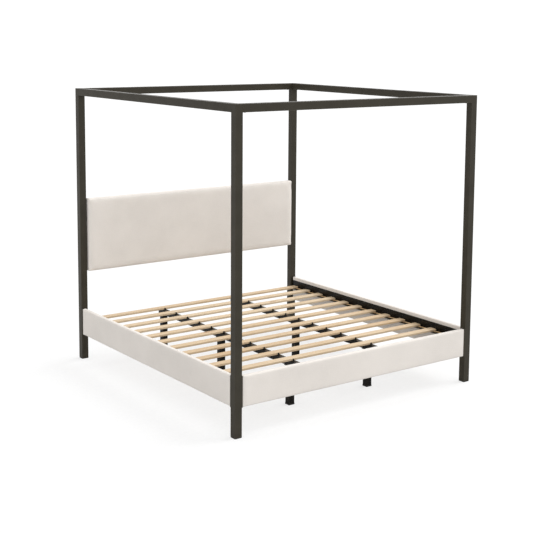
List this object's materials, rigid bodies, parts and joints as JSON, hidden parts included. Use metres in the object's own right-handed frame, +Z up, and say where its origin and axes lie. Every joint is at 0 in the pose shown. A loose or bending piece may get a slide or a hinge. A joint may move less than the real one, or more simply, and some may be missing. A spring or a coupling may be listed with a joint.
{
  "type": "four poster canopy bed",
  "caption": "King-size canopy bed frame: square steel posts and canopy, padded headboard and rails, wood slats on steel centre rails.",
  "frame": {"origin": "on the floor under the middle of the bed's outline", "axes": "+Z up, +Y towards the head end, +X towards the right-hand side seen from the foot"},
  "size_m": [2.02, 2.13, 2.05],
  "materials": {
    "bronze_steel": "satin powder coat, dark bronze",
    "black_steel": "matt powder coat, near black",
    "black_bolts": "black oxide, satin",
    "zinc_screws": "zinc plated",
    "black_plastic": "fine moulded texture",
    "upholstery": "fine plain weave over foam, off-white",
    "dust_cloth": "thin bonded cloth, charcoal",
    "plywood": "raw plywood",
    "slat_wood": "planed pale pine, unlacquered",
    "webbing": "woven flat tape"
  },
  "bodies": {
    "root": {"canopy_bolts": "black_bolts", "canopy_foot": "bronze_steel", "canopy_head": "bronze_steel", "canopy_left": "bronze_steel", "canopy_right": "bronze_steel", "canopy_spigots": "bronze_steel", "centre_rail_bolts": "black_bolts", "centre_rail_brackets": "black_steel", "centre_rail_caps": "black_plastic", "centre_rail_left": "black_steel", "centre_rail_right": "black_steel", "foot_board": "plywood", "foot_cover": "upholstery", "headboard_board": "plywood", "headboard_bolts": "black_bolts", "headboard_cushion": "upholstery", "headboard_dust_cover": "dust_cloth", "headboard_hangers": "black_steel", "hook_plate_foot_left": "bronze_steel", "hook_plate_foot_right": "bronze_steel", "hook_plate_left_foot": "bronze_steel", "hook_plate_left_head": "bronze_steel", "hook_plate_right_foot": "bronze_steel", "hook_plate_right_head": "bronze_steel", "hook_plate_screws": "zinc_screws", "ledge_left": "black_steel", "ledge_right": "black_steel", "leg_feet": "black_plastic", "leg_left_foot": "black_steel", "leg_left_head": "black_steel", "leg_left_middle": "black_steel", "leg_right_foot": "black_steel", "leg_right_head": "black_steel", "leg_right_middle": "black_steel", "post_caps": "bronze_steel", "post_foot_left": "bronze_steel", "post_foot_right": "bronze_steel", "post_glides": "black_plastic", "post_head_left": "bronze_steel", "post_head_right": "bronze_steel", "side_board_left": "plywood", "side_board_right": "plywood", "side_cover_left": "upholstery", "side_cover_right": "upholstery", "slat_01": "slat_wood", "slat_02": "slat_wood", "slat_03": "slat_wood", "slat_04": "slat_wood", "slat_05": "slat_wood", "slat_06": "slat_wood", "slat_07": "slat_wood", "slat_08": "slat_wood", "slat_09": "slat_wood", "slat_10": "slat_wood", "slat_11": "slat_wood", "slat_12": "slat_wood", "slat_holders": "black_plastic", "slat_tape_left": "webbing", "slat_tape_right": "webbing", "wood_screws": "black_bolts"}
  },
  "joints": []
}
